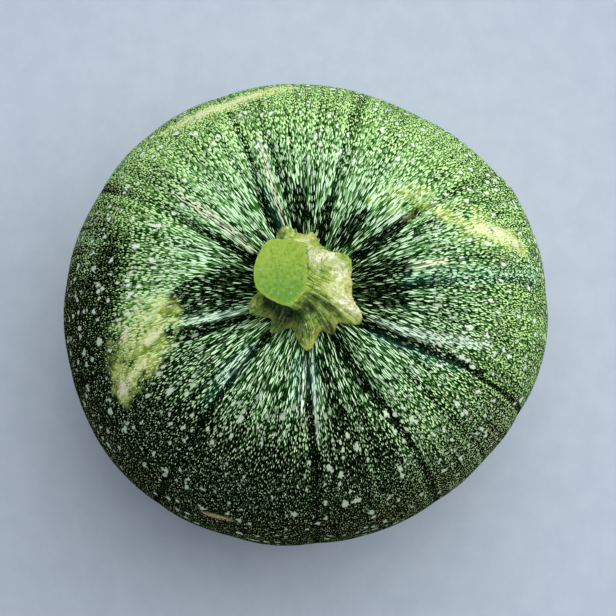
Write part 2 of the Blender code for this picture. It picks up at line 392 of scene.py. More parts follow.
def along_stroke(azimuth, along, reach, stroke):
    """1 on a stroke drawn on the rind, falling to 0 a little past its half width. Lengths in millimetres."""
    mask = np.zeros_like(azimuth)
    for (start_at, start_along, start_width), (end_at, end_along, end_width) in zip(stroke, stroke[1:]):
        across = turned_by(math.radians(start_at), azimuth) * reach
        out = along - start_along
        step_across = turned_by(math.radians(start_at), math.radians(end_at)) * reach
        step_out = end_along - start_along
        share = np.clip((across * step_across + out * step_out) / (step_across**2 + step_out**2), 0, 1)
        distance = np.hypot(across - share * step_across, out - share * step_out)
        mask = np.maximum(mask, 1 - smoothstep(0.2, 1.4, distance / mix(start_width, end_width, share)))
    return mask


def strokes(azimuth, along, reach, lines):
    return np.max([along_stroke(azimuth, along, reach, line) for line in lines], axis=0)


def lobe_tone_and_shade(along, lobe, share):
    """Lightness painted on the rind, painted shade on the lower lobes included: every lobe has its own, and
    it changes softly across the grooves.
    """
    shoulder, waist, loss = np.array(LOBE_TONES_AND_SHADE).T
    outward = smoothstep(SHOULDER_AT, WAIST_AT, along)
    beside_stem = 1 - smoothstep(*BESIDE_STEM, along)
    own = mix(shoulder[lobe], waist[lobe], outward) - loss[lobe] * beside_stem
    near = np.where(share < 0.5, lobe - 1, lobe + 1) % len(GROOVES)
    other = mix(shoulder[near], waist[near], outward) - loss[near] * beside_stem
    return mix(other, own, 0.5 + 0.5 * smoothstep(0, 0.3, np.minimum(share, 1 - share)))


def closed_form(name, top, rows, bottom):
    """A closed mesh: rows of points, each once round, between a top and a bottom point."""
    count, columns = rows.shape[:2]
    points = np.vstack([top, rows.reshape(-1, 3), bottom])
    here = np.arange(columns)
    there = (here + 1) % columns
    first = 1 + columns * np.arange(count - 1)[:, None]
    corners = [first + here, first + here + columns, first + there + columns, first + there]
    quads = np.stack(corners, axis=-1).reshape(-1, 4)
    last = 1 + columns * (count - 1)
    faces = quads.tolist()
    faces += [(0, 1 + a, 1 + b) for a, b in zip(here.tolist(), there.tolist())]
    faces += [(len(points) - 1, last + b, last + a) for a, b in zip(here.tolist(), there.tolist())]
    mesh = bpy.data.meshes.new(name)
    mesh.from_pydata(points.tolist(), [], faces)
    mesh.shade_smooth()
    return mesh


def paint(mesh, name, rows, top=0.0, bottom=0.0):
    """Stores one value a point, for the material to read by this name."""
    values = np.concatenate([[top], rows.ravel(), [bottom]])
    mesh.attributes.new(name, "FLOAT", "POINT").data.foreach_set("value", values.astype(np.float32))


def add_rind():
    down, lobe, share, azimuth = rind_grid()
    waist_radius = plan_radius(azimuth)
    reach, height = profile(down, waist_radius)
    points = np.stack([reach * np.cos(azimuth), reach * np.sin(azimuth), height], axis=-1)
    sunk = groove_sink(down, lobe, share, azimuth, reach, waist_radius)
    direction = np.stack([np.cos(azimuth), np.sin(azimuth), 0 * azimuth], axis=-1)
    ribs = RIB_HEIGHT * noise_over(direction * RIB_COUNT) * (1 - smoothstep(*RIBS_FADE, reach))
    ribs = np.where(down < math.pi / 2, ribs, 0)
    lumps = LUMP_HEIGHT * (noise_over(points / LUMP_SIZE) - 1.1)
    outward = points / np.linalg.norm(points, axis=-1, keepdims=True)
    points = points + outward * (lumps + ribs - sunk)[..., None]
    points[..., 2] = np.maximum(points[..., 2], -WAIST_HEIGHT)
    top = np.array([0, 0, STEM_END_RISE - DIMPLE_DEPTH])
    bottom = np.array([0, 0, DISH_DEPTH - BLOSSOM_END_DROP])
    mesh = closed_form("rind", top + AXIS, points + AXIS, bottom + AXIS)

    middle = points.mean(axis=1)
    middle = np.stack([np.hypot(points[..., 0], points[..., 1]).mean(axis=1), middle[:, 2]], axis=-1)
    middle = np.vstack([[0, top[2]], middle])
    steps = np.linalg.norm(np.diff(middle, axis=0), axis=1)
    along = np.cumsum(steps)[:, None] / MM + 0 * azimuth
    reach_mm = np.maximum(reach / MM, 1)
    gap = np.minimum(share, 1 - share) * math.tau / len(GROOVES) * reach_mm
    paint(mesh, "along", along, bottom=along[-1, 0])
    # The dark line along each groove is painted shade, stronger on the lower lobes
    near_stem = 1 - smoothstep(*GROOVE_SHADE_FADES, along)
    lines = np.array(GROOVE_SHADE_LINES)
    line = np.where(share < 0.5, lines[lobe], lines[(lobe + 1) % len(GROOVES)])
    line = mix(line, GROOVE_SHADE_NEAR_STEM, near_stem)
    paint(mesh, "groove", line * (1 - smoothstep(*GROOVE_SHADE_EDGE, gap)))
    # Lightness of the lobes, with painted shade on the lower side
    paint(mesh, "tone_and_shade", lobe_tone_and_shade(along, lobe, share))
    patches = strokes(azimuth, along, reach_mm, CREAM_PATCHES)
    faint_patches = FAINT_SHARE * strokes(azimuth, along, reach_mm, FAINT_PATCHES)
    paint(mesh, "patch", np.maximum(patches, faint_patches))
    markings = {
        "dark": DARK_MARKS,
        "heart": PATCH_HEARTS,
        "vein": PATCH_VEINS,
        "sky_sheen": SKY_SHEEN_BANDS,
        "side_shade": SIDE_SHADE_AREAS,
        "warm_highlight": WARM_HIGHLIGHTS,
        "sky_reflection": SKY_REFLECTIONS,
        "scar": SCAR,
    }
    for name, marks in markings.items():
        paint(mesh, name, strokes(azimuth, along, reach_mm, marks))
    rind = bpy.data.objects.new("rind", mesh)
    bpy.context.scene.collection.objects.link(rind)
    return rind


def skin_below(rind):
    """A function that gives the height of the rind below a place seen from above, given from the axis."""
    tree = BVHTree.FromPolygons([v.co for v in rind.data.vertices], [p.vertices for p in rind.data.polygons])

    def height_at(place):
        above = Vector((place.x + AXIS[0], place.y + AXIS[1], 1.0))
        return tree.ray_cast(above, Vector((0, 0, -1)))[0].z

    return height_at


def polar(azimuth, reach):
    return Vector((math.cos(azimuth), math.sin(azimuth))) * reach


def stem_outlines(turn):
    """One column of the stem: its points on the outlines of foot and cut, and how near a ridge it is."""
    index = int(turn)
    share = turn - index
    after = (index + 1) % len(RIDGES)
    start = math.radians(RIDGES[index][0])
    azimuth = start + (math.radians(RIDGES[after][0]) - start) % math.tau * share
    nearness = abs(math.cos(math.pi * share)) ** RIDGE_SHARPNESS
    tip = RIDGES[index if share < 0.5 else after][1]
    middle, height = FOOT_BUMPS[index]
    bump = height * math.exp(-(((share - middle) / BUMP_WIDTH) ** 2))
    towards_tip = abs(math.cos(math.pi * share)) ** TIP_SHARPNESS
    foot = polar(azimuth, mix(FOOT_REACH, tip, towards_tip) + bump)
    corners = [polar(math.radians(corner), reach) for _, _, corner, reach in RIDGES]
    edge = corners[index].lerp(corners[after], share)
    cut = edge + edge.normalized() * CUT_BULGES[index] * 4 * share * (1 - share)
    return foot, cut, nearness, math.degrees(azimuth)


def blots(azimuth, rise, places):
    """How much of the painted blots falls on a place of the stem's side."""
    total = 0.0
    for at_azimuth, at_rise, wide, tall in places:
        turned = (azimuth - at_azimuth + 180) % 360 - 180
        total += math.exp(-((turned / wide) ** 2) - ((rise - at_rise) / tall) ** 2)
    return min(1.0, total)


def stem_column(turn, skin_height, foot_height):
    """Points of one column of the stem, from the cut's middle to the underside, with their masks."""
    foot, cut, nearness, azimuth = stem_outlines(turn)
    lip = skin_height(foot) + FOOT_LIP
    points = []
    masks = []
    for row in range(1, CUT_ROWS + 1):
        share = row / CUT_ROWS
        across = cut * share * (1 - CUT_RIM / cut.length)
        height = foot_height + STEM_HEIGHT + CUT_SLOPE.dot(across) - CUT_DISH * (1 - share**2)
        points.append((*(STEM_LEAN + across), height))
        masks.append((1.0, 1.0, share, 0.0, 0.0))
    spin = polar(turn * math.tau / len(RIDGES), 1.0).to_3d()
    for row in range(WALL_ROWS + 1):
        rise = (1 - CUT_RIM / STEM_HEIGHT) * (1 - row / WALL_ROWS)
        across = cut.lerp(foot, (1 - rise) ** FLARE)
        hollow = HOLLOW * (1 - nearness) * 4 * rise * (1 - rise)
        stria = noise.noise(spin * 9 + Vector((0, 0, rise * 1.5)))
        stria += 0.6 * noise.noise(spin * 24 + Vector((5, 0, rise * 3)))
        height = mix(lip, foot_height + STEM_HEIGHT + CUT_SLOPE.dot(across), rise)
        spot = Vector((across.x, across.y, height))
        knob = noise.noise(spot / KNOB_SIZE) * KNOB_HEIGHT
        wrinkle = noise.noise(spot / WRINKLE_SIZE) * WRINKLE_HEIGHT
        relief = (knob + wrinkle + stria * STRIA_HEIGHT) * min(1, 6 * (1 - rise), 4 * rise + 0.7)
        across -= across.normalized() * (hollow - relief)
        points.append((*(across + STEM_LEAN * rise**LEAN_CURVE), height))
        glint = blots(azimuth, rise, STEM_GLINTS)
        masks.append((0.0, rise, 1.0, glint, blots(azimuth, rise, STEM_SHADE_BLOTS)))
    for row in range(UNDER_ROWS):
        under = foot * (1 - row / UNDER_ROWS)
        points.append((*under, skin_height(under) - FOOT_SINK))
        masks.append((0.0, 0.0, 1.0, 0.0, 0.0))
    return points, masks


def add_stem(rind):
    skin_height = skin_below(rind)
    foot_height = skin_height(Vector((0, 0)))
    columns = STEM_COLUMNS_PER_RIDGE * len(RIDGES)
    parts = [stem_column(k / STEM_COLUMNS_PER_RIDGE, skin_height, foot_height) for k in range(columns)]
    rows = np.array([points for points, _ in parts]).transpose(1, 0, 2)
    masks = np.array([values for _, values in parts]).transpose(1, 0, 2)
    rows[..., :2] += AXIS[:2]
    top = np.array([STEM_LEAN.x + AXIS[0], STEM_LEAN.y + AXIS[1], foot_height + STEM_HEIGHT - CUT_DISH])
    bottom = np.array([AXIS[0], AXIS[1], foot_height - FOOT_SINK])
    mesh = closed_form("stem_skin", top, rows, bottom)
    paint(mesh, "cut", masks[..., 0], top=1.0)
    paint(mesh, "rise", masks[..., 1], top=1.0)
    paint(mesh, "cut_reach", masks[..., 2])
    paint(mesh, "glint", masks[..., 3])
    paint(mesh, "hollow", masks[..., 4])
    spin = np.arange(columns) * math.tau / columns
    paint(mesh, "spin_x", np.cos(spin) + 0 * masks[..., 0])
    paint(mesh, "spin_y", np.sin(spin) + 0 * masks[..., 0])
    mesh.set_sharp_from_angle(angle=math.radians(55))
    stem = bpy.data.objects.new("stem_skin", mesh)
    bpy.context.scene.collection.objects.link(stem)
    return stem


class Shading:
    """Adds nodes to one tree. Every input is a number, a colour or another node's output."""

    def __init__(self, tree):
        self.tree = tree

    def add(self, kind, inputs, **settings):
        node = self.tree.nodes.new(kind)
        for name, value in settings.items():
            setattr(node, name, value)
        for key, value in dict(inputs).items():
            if isinstance(value, bpy.types.NodeSocket):
                self.tree.links.new(value, node.inputs[key])
            else:
                node.inputs[key].default_value = value
        return node

    def number(self, operation, *values, clamp=False):
        node = self.add("ShaderNodeMath", enumerate(values), operation=operation, use_clamp=clamp)
        return node.outputs[0]

    def times(self, first, second):
        return self.number("MULTIPLY", first, second)

    def vector(self, operation, *values):
        return self.add("ShaderNodeVectorMath", enumerate(values), operation=operation).outputs[0]

    def scaled(self, vector, scale):
        inputs = {0: vector, "Scale": scale}
        return self.add("ShaderNodeVectorMath", inputs, operation="SCALE").outputs[0]

    def dot(self, first, second):
        inputs = {0: first, 1: second}
        return self.add("ShaderNodeVectorMath", inputs, operation="DOT_PRODUCT").outputs["Value"]

    def length(self, vector):
        return self.add("ShaderNodeVectorMath", {0: vector}, operation="LENGTH").outputs["Value"]

    def joined(self, x, y, z):
        return self.add("ShaderNodeCombineXYZ", {0: x, 1: y, 2: z}).outputs[0]

    def step(self, value, low, high, start=0.0, end=1.0):
        """`start` below low, `end` above high, and a smooth change between them."""
        inputs = {"Value": value, "From Min": low, "From Max": high, "To Min": start, "To Max": end}
        return self.add("ShaderNodeMapRange", inputs, interpolation_type="SMOOTHSTEP").outputs[0]

    def blend(self, share, first, second):
        return self.add("ShaderNodeMix", {0: share, 6: first, 7: second}, data_type="RGBA").outputs[2]

    def between(self, share, first, second):
        return self.add("ShaderNodeMix", {0: share, 2: first, 3: second}, data_type="FLOAT").outputs[0]

    def noise(self, vector, scale, detail=0.0, roughness=0.5):
        inputs = {"Vector": vector, "Scale": scale, "Detail": detail, "Roughness": roughness}
        return self.add("ShaderNodeTexNoise", inputs).outputs[0]

    def painted(self, name):
        return self.add("ShaderNodeAttribute", {}, attribute_name=name).outputs["Fac"]


def new_group(name, inputs, outputs):
    """A shader node group with these sockets: its shading, its inputs by name, and its output node."""
    tree = bpy.data.node_groups.new(name, "ShaderNodeTree")
    for socket, kind in inputs.items():
        tree.interface.new_socket(socket, in_out="INPUT", socket_type=kind)
    for socket, kind in outputs.items():
        tree.interface.new_socket(socket, in_out="OUTPUT", socket_type=kind)
    given = tree.nodes.new("NodeGroupInput")
    result = tree.nodes.new("NodeGroupOutput")
    return tree, Shading(tree), given.outputs, result.inputs


def place_group(shading, tree, inputs):
    """A copy of a group with these inputs: its outputs."""
    return shading.add("ShaderNodeGroup", inputs, node_tree=tree).outputs


def stretched_grain_group():
    """Noise that runs round and along a form: `Around` cells a radian and `Lengthwise` cells a unit."""
    tree, shading, given, result = new_group(
        "Stretched grain",
        {
            "Direction": "NodeSocketVector",
            "Along": "NodeSocketFloat",
            "Around": "NodeSocketFloat",
            "Lengthwise": "NodeSocketFloat",
            "Detail": "NodeSocketFloat",
            "Offset": "NodeSocketFloat",
        },
        {"Grain": "NodeSocketFloat"},
    )
    lengthwise = shading.number("MULTIPLY_ADD", given["Along"], given["Lengthwise"], given["Offset"])
    place = shading.vector(
        "ADD", shading.scaled(given["Direction"], given["Around"]), shading.joined(0.0, 0.0, lengthwise)
    )
    tree.links.new(shading.noise(place, 1.0, given["Detail"]), result["Grain"])
    return tree


def stretched_grain(shading, grain, direction, along, around, lengthwise, detail, offset):
    values = {
        "Direction": direction,
        "Along": along,
        "Around": around,
        "Lengthwise": lengthwise,
        "Detail": detail,
        "Offset": offset,
    }
    return place_group(shading, grain, values)["Grain"]


# Layers of flecks: distance from the axis where the layer is at full strength, and flecks a millimetre across
# and lengthwise. Between two layers the flecks of one shrink as those of the other grow. The layers meet
# themselves, once round, along MEETING_LINE, which lies in a groove.
FLECK_LAYERS = ((13, 3.7, 0.3), (20.5, 3.45, 0.44), (32.5, 3.1, 0.82), (51, 2.5, 0.98))
LAYER_RATIO = 1.58
LAYER_SHARPNESS = 2.2
FLECK_SIZE = 0.27
FLECK_GROWTH = 0.27
FLECK_SMALLEST = 0.21
FLECK_LARGEST = 0.56
FLECK_EVENNESS = 0.95
FLECK_EDGE = 0.06
FLECK_WAVE = 0.45
FLECK_WAVE_LENGTH = 2.0
MEETING_LINE = math.radians(231.8)


def fleck_group():
    """The rind's flecks: streaks near the stem that split and shorten to dots as the fruit widens."""
    tree, shading, given, result = new_group(
        "Rind flecks",
        {
            "Direction": "NodeSocketVector",
            "Along": "NodeSocketFloat",
            "Reach": "NodeSocketFloat",
            "Size": "NodeSocketFloat",
            "Sparse": "NodeSocketFloat",
        },
        {"Flecks": "NodeSocketFloat"},
    )
    across_line = (-math.sin(MEETING_LINE), math.cos(MEETING_LINE), 0)
    along_line = (math.cos(MEETING_LINE), math.sin(MEETING_LINE), 0)
    side = shading.dot(given["Direction"], across_line)
    front = shading.dot(given["Direction"], along_line)
    turn = shading.number("ARCTAN2", shading.times(side, -1.0), shading.times(front, -1.0))
    unrolled = shading.vector(
        "ADD", shading.scaled(given["Direction"], MEAN_RADIUS / MM), shading.joined(0.0, 0.0, given["Along"])
    )
    wave = shading.number("SUBTRACT", shading.noise(unrolled, 1 / FLECK_WAVE_LENGTH, 1.0), 0.5)
    wave = shading.number("DIVIDE", shading.times(wave, FLECK_WAVE), given["Reach"])
    turn = shading.number("ADD", turn, wave)
    flecks = 0.0
    for number, (at, across, lengthwise) in enumerate(FLECK_LAYERS):
        away = shading.number("LOGARITHM", shading.number("DIVIDE", given["Reach"], float(at)), LAYER_RATIO)
        if number == 0:
            away = shading.number("MAXIMUM", away, 0.0)
        if number == len(FLECK_LAYERS) - 1:
            away = shading.number("MINIMUM", away, 0.0)
        from_edge = shading.number("SUBTRACT", 0.5, shading.number("ABSOLUTE", away))
        weight = shading.number("MULTIPLY_ADD", from_edge, LAYER_SHARPNESS, 0.5, clamp=True)
        size = shading.times(given["Size"], shading.number("SQRT", weight))
        height = shading.number("MULTIPLY_ADD", given["Along"], lengthwise, 31.0 * number)
        place = shading.joined(shading.times(turn, at * across), height, 0.0)
        torn = shading.number("MULTIPLY_ADD", shading.noise(place, 1.3, 1.0), 0.5, -0.25)
        cells = shading.add(
            "ShaderNodeTexVoronoi",
            {"Vector": place, "Scale": 1.0, "Randomness": FLECK_EVENNESS},
            voronoi_dimensions="2D",
        )
        distance = shading.number("ADD", cells.outputs["Distance"], torn)
        within = shading.step(shading.number("SUBTRACT", size, distance), -FLECK_EDGE, FLECK_EDGE)
        chance = shading.add("ShaderNodeSeparateColor", {0: cells.outputs["Color"]}).outputs[0]
        even = shading.number("MULTIPLY_ADD", chance, 0.85, 0.44)
        rare = shading.number("MULTIPLY_ADD", shading.number("POWER", chance, 1.8), 1.3, 0.1)
        brightness = shading.between(given["Sparse"], even, rare)
        flecks = shading.number("MAXIMUM", flecks, shading.times(within, brightness))
    tree.links.new(flecks, result["Flecks"])
    return tree


# Size of a cell, largest radius and raggedness of the spots, in millimetres
LARGE_SPOTS = {"Cell": 2.9, "Radius": 0.79, "Ragged": 2.3}
SMALL_SPOTS = {"Cell": 2.1, "Radius": 0.6, "Ragged": 1.4}
SPOT_STRETCH = (1, 1, 0.75)


def spot_group():
    """Pale spots larger than the flecks: about one a cell, each of its own size."""
    tree, shading, given, result = new_group(
        "Rind spots",
        {
            "Place": "NodeSocketVector",
            "Cell": "NodeSocketFloat",
            "Radius": "NodeSocketFloat",
            "Ragged": "NodeSocketFloat",
        },
        {"Spots": "NodeSocketFloat", "Rings": "NodeSocketFloat"},
    )
    torn = shading.noise(given["Place"], 1.6, 2.0)
    scale = shading.number("DIVIDE", 1.0, given["Cell"])
    cells = shading.add("ShaderNodeTexVoronoi", {"Vector": given["Place"], "Scale": scale})
    size = shading.add("ShaderNodeSeparateColor", {0: cells.outputs["Color"]}).outputs[0]
    distance = shading.times(cells.outputs["Distance"], given["Cell"])
    edge = shading.number("MULTIPLY_ADD", shading.number("SUBTRACT", torn, 0.5), given["Ragged"], distance)
    radius = shading.times(given["Radius"], shading.step(size, 0.15, 1.0, 0.0, 1.0))
    share = shading.number("DIVIDE", edge, shading.number("MAXIMUM", radius, 0.001))
    within = shading.step(share, 0.75, 1.15, 1.0, 0.0)
    brightness = shading.step(size, 0.2, 0.95, 0.5, 1.0)
    tree.links.new(shading.times(within, brightness), result["Spots"])
    tree.links.new(shading.step(share, 1.3, 2.1, 1.0, 0.0), result["Rings"])
    return tree


def new_material(name, roughness, gloss):
    material = bpy.data.materials.new(name)
    material.use_nodes = True
    shader = material.node_tree.nodes["Principled BSDF"]
    shader.inputs["Roughness"].default_value = roughness
    shader.inputs["Specular IOR Level"].default_value = gloss
    return material, shader, Shading(material.node_tree)


GROUND_DEEP = (0.0006, 0.003, 0.0006, 1)
GROUND_MID = (0.009, 0.052, 0.007, 1)
GROUND_GREEN = (0.055, 0.19, 0.024, 1)
GROUND_DUSKY_SHADE = (0.004, 0.0045, 0.002, 1)
FLECK_COOL = (0.69, 1.0, 0.65, 1)
FLECK_BRIGHT = (0.7, 0.98, 0.4, 1)
FLECK_PALE = (0.78, 0.98, 0.64, 1)
FLECK_FAINT = (0.19, 0.5, 0.11, 1)
FLECK_DUSKY = (0.72, 0.77, 0.4, 1)
FLECK_SKY_SHEEN = (0.6, 0.95, 0.78, 1)
SPOT_PALE = (0.86, 1.0, 0.8, 1)
# Dimmer colour of the spots on the dark lobes: painted shade
SPOT_SHADED = (0.6, 0.76, 0.52, 1)
PATCH_OLIVE = (0.19, 0.3, 0.025, 1)
PATCH_YELLOW = (0.48, 0.6, 0.15, 1)
PATCH_CREAM = (0.82, 0.93, 0.44, 1)
HEART_CREAM = (0.92, 0.87, 0.6, 1)
HIGHLIGHT_CREAM = (0.88, 0.98, 0.66, 1)
REFLECTION_FROST = (0.76, 0.96, 0.78, 1)
GROUND_SKY_SHEEN = (0.006, 0.05, 0.034, 1)
SCAR_TAN = (0.68, 0.5, 0.28, 1)


def rind_material(grain):
    material, shader, shading = new_material("flecked_rind", 0.6, 0.0)
    place = shading.add("ShaderNodeTexCoord", {}).outputs["Object"]
    in_mm = shading.scaled(place, 1 / MM)
    from_axis = shading.vector("SUBTRACT", place, tuple(AXIS))
    from_axis = shading.vector("MULTIPLY", from_axis, (1 / MM, 1 / MM, 0))
    reach = shading.length(from_axis)
    direction = shading.vector("NORMALIZE", from_axis)
    along = shading.painted("along")
    unrolled = shading.vector(
        "ADD", shading.scaled(direction, MEAN_RADIUS / MM), shading.joined(0.0, 0.0, along)
    )
    patch = shading.painted("patch")
    # Painted shade along the grooves, weaker on the pale patches
    groove = shading.times(shading.painted("groove"), shading.step(patch, 0.1, 0.6, 1.0, 0.25))
    heart = shading.painted("heart")
    # Painted highlights and sky reflections on the groove flanks
    warm_highlight = shading.painted("warm_highlight")
    sky_reflection = shading.painted("sky_reflection")
    pale = shading.number("MAXIMUM", shading.number("MAXIMUM", warm_highlight, sky_reflection), heart)
    spots = spot_group()
    drawn_out = shading.vector("MULTIPLY", unrolled, SPOT_STRETCH)
    large = place_group(shading, spots, {"Place": drawn_out, **LARGE_SPOTS})
    small = place_group(shading, spots, {"Place": drawn_out, **SMALL_SPOTS})
    outward = shading.step(along, 18.0, 34.0)
    spot = shading.times(shading.number("MAXIMUM", large["Spots"], small["Spots"]), outward)
    ring = shading.number("MAXIMUM", large["Rings"], small["Rings"])
    ring = shading.times(ring, shading.times(outward, 0.55))

    # How light the rind is at each place, painted shade included, and so how large the flecks are
    cloud = shading.number("MULTIPLY_ADD", shading.noise(in_mm, 0.12, 2.0), 0.6, -0.3)
    tone_and_shade = shading.number("ADD", shading.painted("tone_and_shade"), cloud)
    bundles = stretched_grain(shading, grain, direction, along, 26.0, 0.025, 2.0, 3.0)
    bundles = shading.number("SUBTRACT", bundles, 0.5)
    bundles = shading.times(bundles, shading.step(along, 22.0, 48.0, 2.4, 0.7))
    tone_and_shade = shading.number("ADD", tone_and_shade, bundles)
    lines = stretched_grain(shading, grain, direction, along, 74.0, 0.035, 1.0, 9.0)
    lines = shading.number("SUBTRACT", lines, 0.5)
    tone_and_shade = shading.number("MULTIPLY_ADD", lines, shading.step(along, 20.0, 38.0, 2.8, 1.5), tone_and_shade)
    streaky = shading.number("ADD", lines, bundles)
    streaky = shading.number("MULTIPLY_ADD", streaky, 0.9, shading.painted("dark"))
    tone_and_shade = shading.number("MULTIPLY_ADD", shading.step(streaky, 0.15, 0.75), -1.3, tone_and_shade)
    tone_and_shade = shading.number("MULTIPLY_ADD", groove, -1.2, tone_and_shade)
    # Painted shade on the side away from the light
    tone_and_shade = shading.number("MULTIPLY_ADD", shading.painted("side_shade"), -0.75, tone_and_shade)
    tone_and_shade = shading.number("MULTIPLY_ADD", patch, 0.4, tone_and_shade)
    size = shading.number("MULTIPLY_ADD", tone_and_shade, FLECK_GROWTH, FLECK_SIZE)
    size = shading.number("MAXIMUM", size, FLECK_SMALLEST)
    size = shading.number("MULTIPLY_ADD", pale, 0.1, size)
    size = shading.number("MULTIPLY_ADD", groove, -0.12, size)
    size = shading.number("MINIMUM", size, FLECK_LARGEST)
    sparse = shading.step(tone_and_shade, 0.15, -0.5)
    values = {"Direction": direction, "Along": along, "Reach": reach, "Size": size, "Sparse": sparse}
    flecks = place_group(shading, fleck_group(), values)["Flecks"]

    # Colours of the ground and of the flecks on it
    ground = shading.blend(shading.step(tone_and_shade, -0.2, 0.5), GROUND_DEEP, GROUND_MID)
    ground = shading.blend(shading.step(tone_and_shade, 0.35, 1.0), ground, GROUND_GREEN)
    # Painted reflection of the bluish sky tints the ground and the flecks teal
    sky_sheen = shading.times(shading.painted("sky_sheen"), 0.5)
    ground = shading.blend(sky_sheen, ground, GROUND_SKY_SHEEN)
    # Near the stem the flecks are cool: partly their own pale colour, partly painted reflection of the bluish
    # sky
    fleck_colour = shading.blend(shading.step(along, 20.0, 46.0), FLECK_COOL, FLECK_BRIGHT)
    fleck_colour = shading.blend(shading.step(shading.painted("tone_and_shade"), 0.4, -0.3), fleck_colour, FLECK_PALE)
    # Towards the waist of the darkest lobes the ground goes near black and the flecks dusky olive: partly the
    # rind's own colour, partly painted shade on the lower side away from the light
    dusk_and_shade = shading.times(shading.step(along, 44.0, 60.0), shading.step(tone_and_shade, 0.4, -0.1))
    fleck_colour = shading.blend(dusk_and_shade, fleck_colour, FLECK_DUSKY)
    ground = shading.blend(dusk_and_shade, ground, GROUND_DUSKY_SHADE)
    fleck_colour = shading.blend(sky_sheen, fleck_colour, FLECK_SKY_SHEEN)
    fleck_colour = shading.blend(warm_highlight, fleck_colour, HIGHLIGHT_CREAM)
    fleck_colour = shading.blend(shading.times(sky_reflection, 0.8), fleck_colour, REFLECTION_FROST)

    # The pale patches, torn at their edges
    mottle = shading.noise(in_mm, 0.55, 3.0, 0.6)
    torn = stretched_grain(shading, grain, direction, along, 34.0, 0.35, 2.0, 5.0)
    torn = shading.number("ADD", torn, shading.noise(in_mm, 0.3, 2.0))
    cover = shading.number("MULTIPLY_ADD", shading.number("SUBTRACT", torn, 1.0), 2.8, 1.0)
    cover = shading.step(shading.times(cover, patch), 0.15, 1.1, 0.0, 0.9)
    vein = shading.painted("vein")
    patch_ground = shading.blend(shading.step(mottle, 0.34, 0.6), PATCH_OLIVE, PATCH_YELLOW)
    patch_ground = shading.blend(vein, patch_ground, PATCH_OLIVE)
    ground = shading.blend(cover, ground, patch_ground)
    fleck_colour = shading.blend(cover, fleck_colour, PATCH_CREAM)
    fleck_colour = shading.blend(shading.times(vein, 0.55), fleck_colour, PATCH_OLIVE)

    # Flecks, then spots, over the ground
    boost = shading.number("MULTIPLY_ADD", pale, 0.35, 1.0)
    lit = shading.number("MULTIPLY", flecks, boost, clamp=True)
    faint = shading.times(shading.step(lit, 0.95, 0.35, 0.0, 0.85), shading.step(cover, 1.0, 0.0))
    fleck_colour = shading.blend(faint, fleck_colour, FLECK_FAINT)
    colour = shading.blend(lit, ground, fleck_colour)
    # On the dark lobes the spots are dimmer: painted shade
    spot_colour = shading.blend(shading.step(shading.painted("tone_and_shade"), 0.5, -0.2), SPOT_PALE, SPOT_SHADED)
    uncovered = shading.step(cover, 0.1, 0.9, 1.0, 0.3)
    colour = shading.blend(shading.times(ring, uncovered), colour, ground)
    spot = shading.times(spot, shading.times(uncovered, 0.9))
    colour = shading.blend(spot, colour, spot_colour)

    # The smooth hearts of the patches, the painted highlights and sky reflections along the grooves, and the
    # scar
    smooth = shading.times(heart, shading.step(mottle, 0.4, 0.62, 0.15, 0.8))
    colour = shading.blend(smooth, colour, HEART_CREAM)
    streaked = shading.step(shading.number("ADD", lines, 0.5), 0.44, 0.58, 0.0, 0.4)
    colour = shading.blend(shading.times(warm_highlight, streaked), colour, HIGHLIGHT_CREAM)
    colour = shading.blend(shading.times(sky_reflection, streaked), colour, REFLECTION_FROST)
    colour = shading.blend(shading.painted("scar"), colour, SCAR_TAN)
    material.node_tree.links.new(colour, shader.inputs["Base Color"])
    bump = shading.add("ShaderNodeBump", {"Height": flecks, "Strength": 0.2, "Distance": 0.0001})
    material.node_tree.links.new(bump.outputs[0], shader.inputs["Normal"])
    return material


STEM_GREEN = (0.13, 0.27, 0.03, 1)
STEM_YELLOW = (0.36, 0.5, 0.07, 1)
STEM_AMBER = (0.58, 0.52, 0.13, 1)
STEM_FIBRE = (0.55, 0.7, 0.2, 1)
STEM_HIGHLIGHT_STRAW = (0.52, 0.62, 0.14, 1)
STEM_CREAM = (0.9, 0.88, 0.68, 1)
STEM_DIM = (0.05, 0.12, 0.01, 1)
# Dark of the stem's fibres and striae, also used for the painted shade in its hollows
STEM_DARK_FIBRE_AND_SHADE = (0.006, 0.022, 0.004, 1)
CUT_DARK = (0.06, 0.17, 0.01, 1)
CUT_GREEN = (0.11, 0.28, 0.015, 1)
CUT_YELLOW = (0.28, 0.43, 0.03, 1)
CUT_PITH = (0.45, 0.5, 0.2, 1)


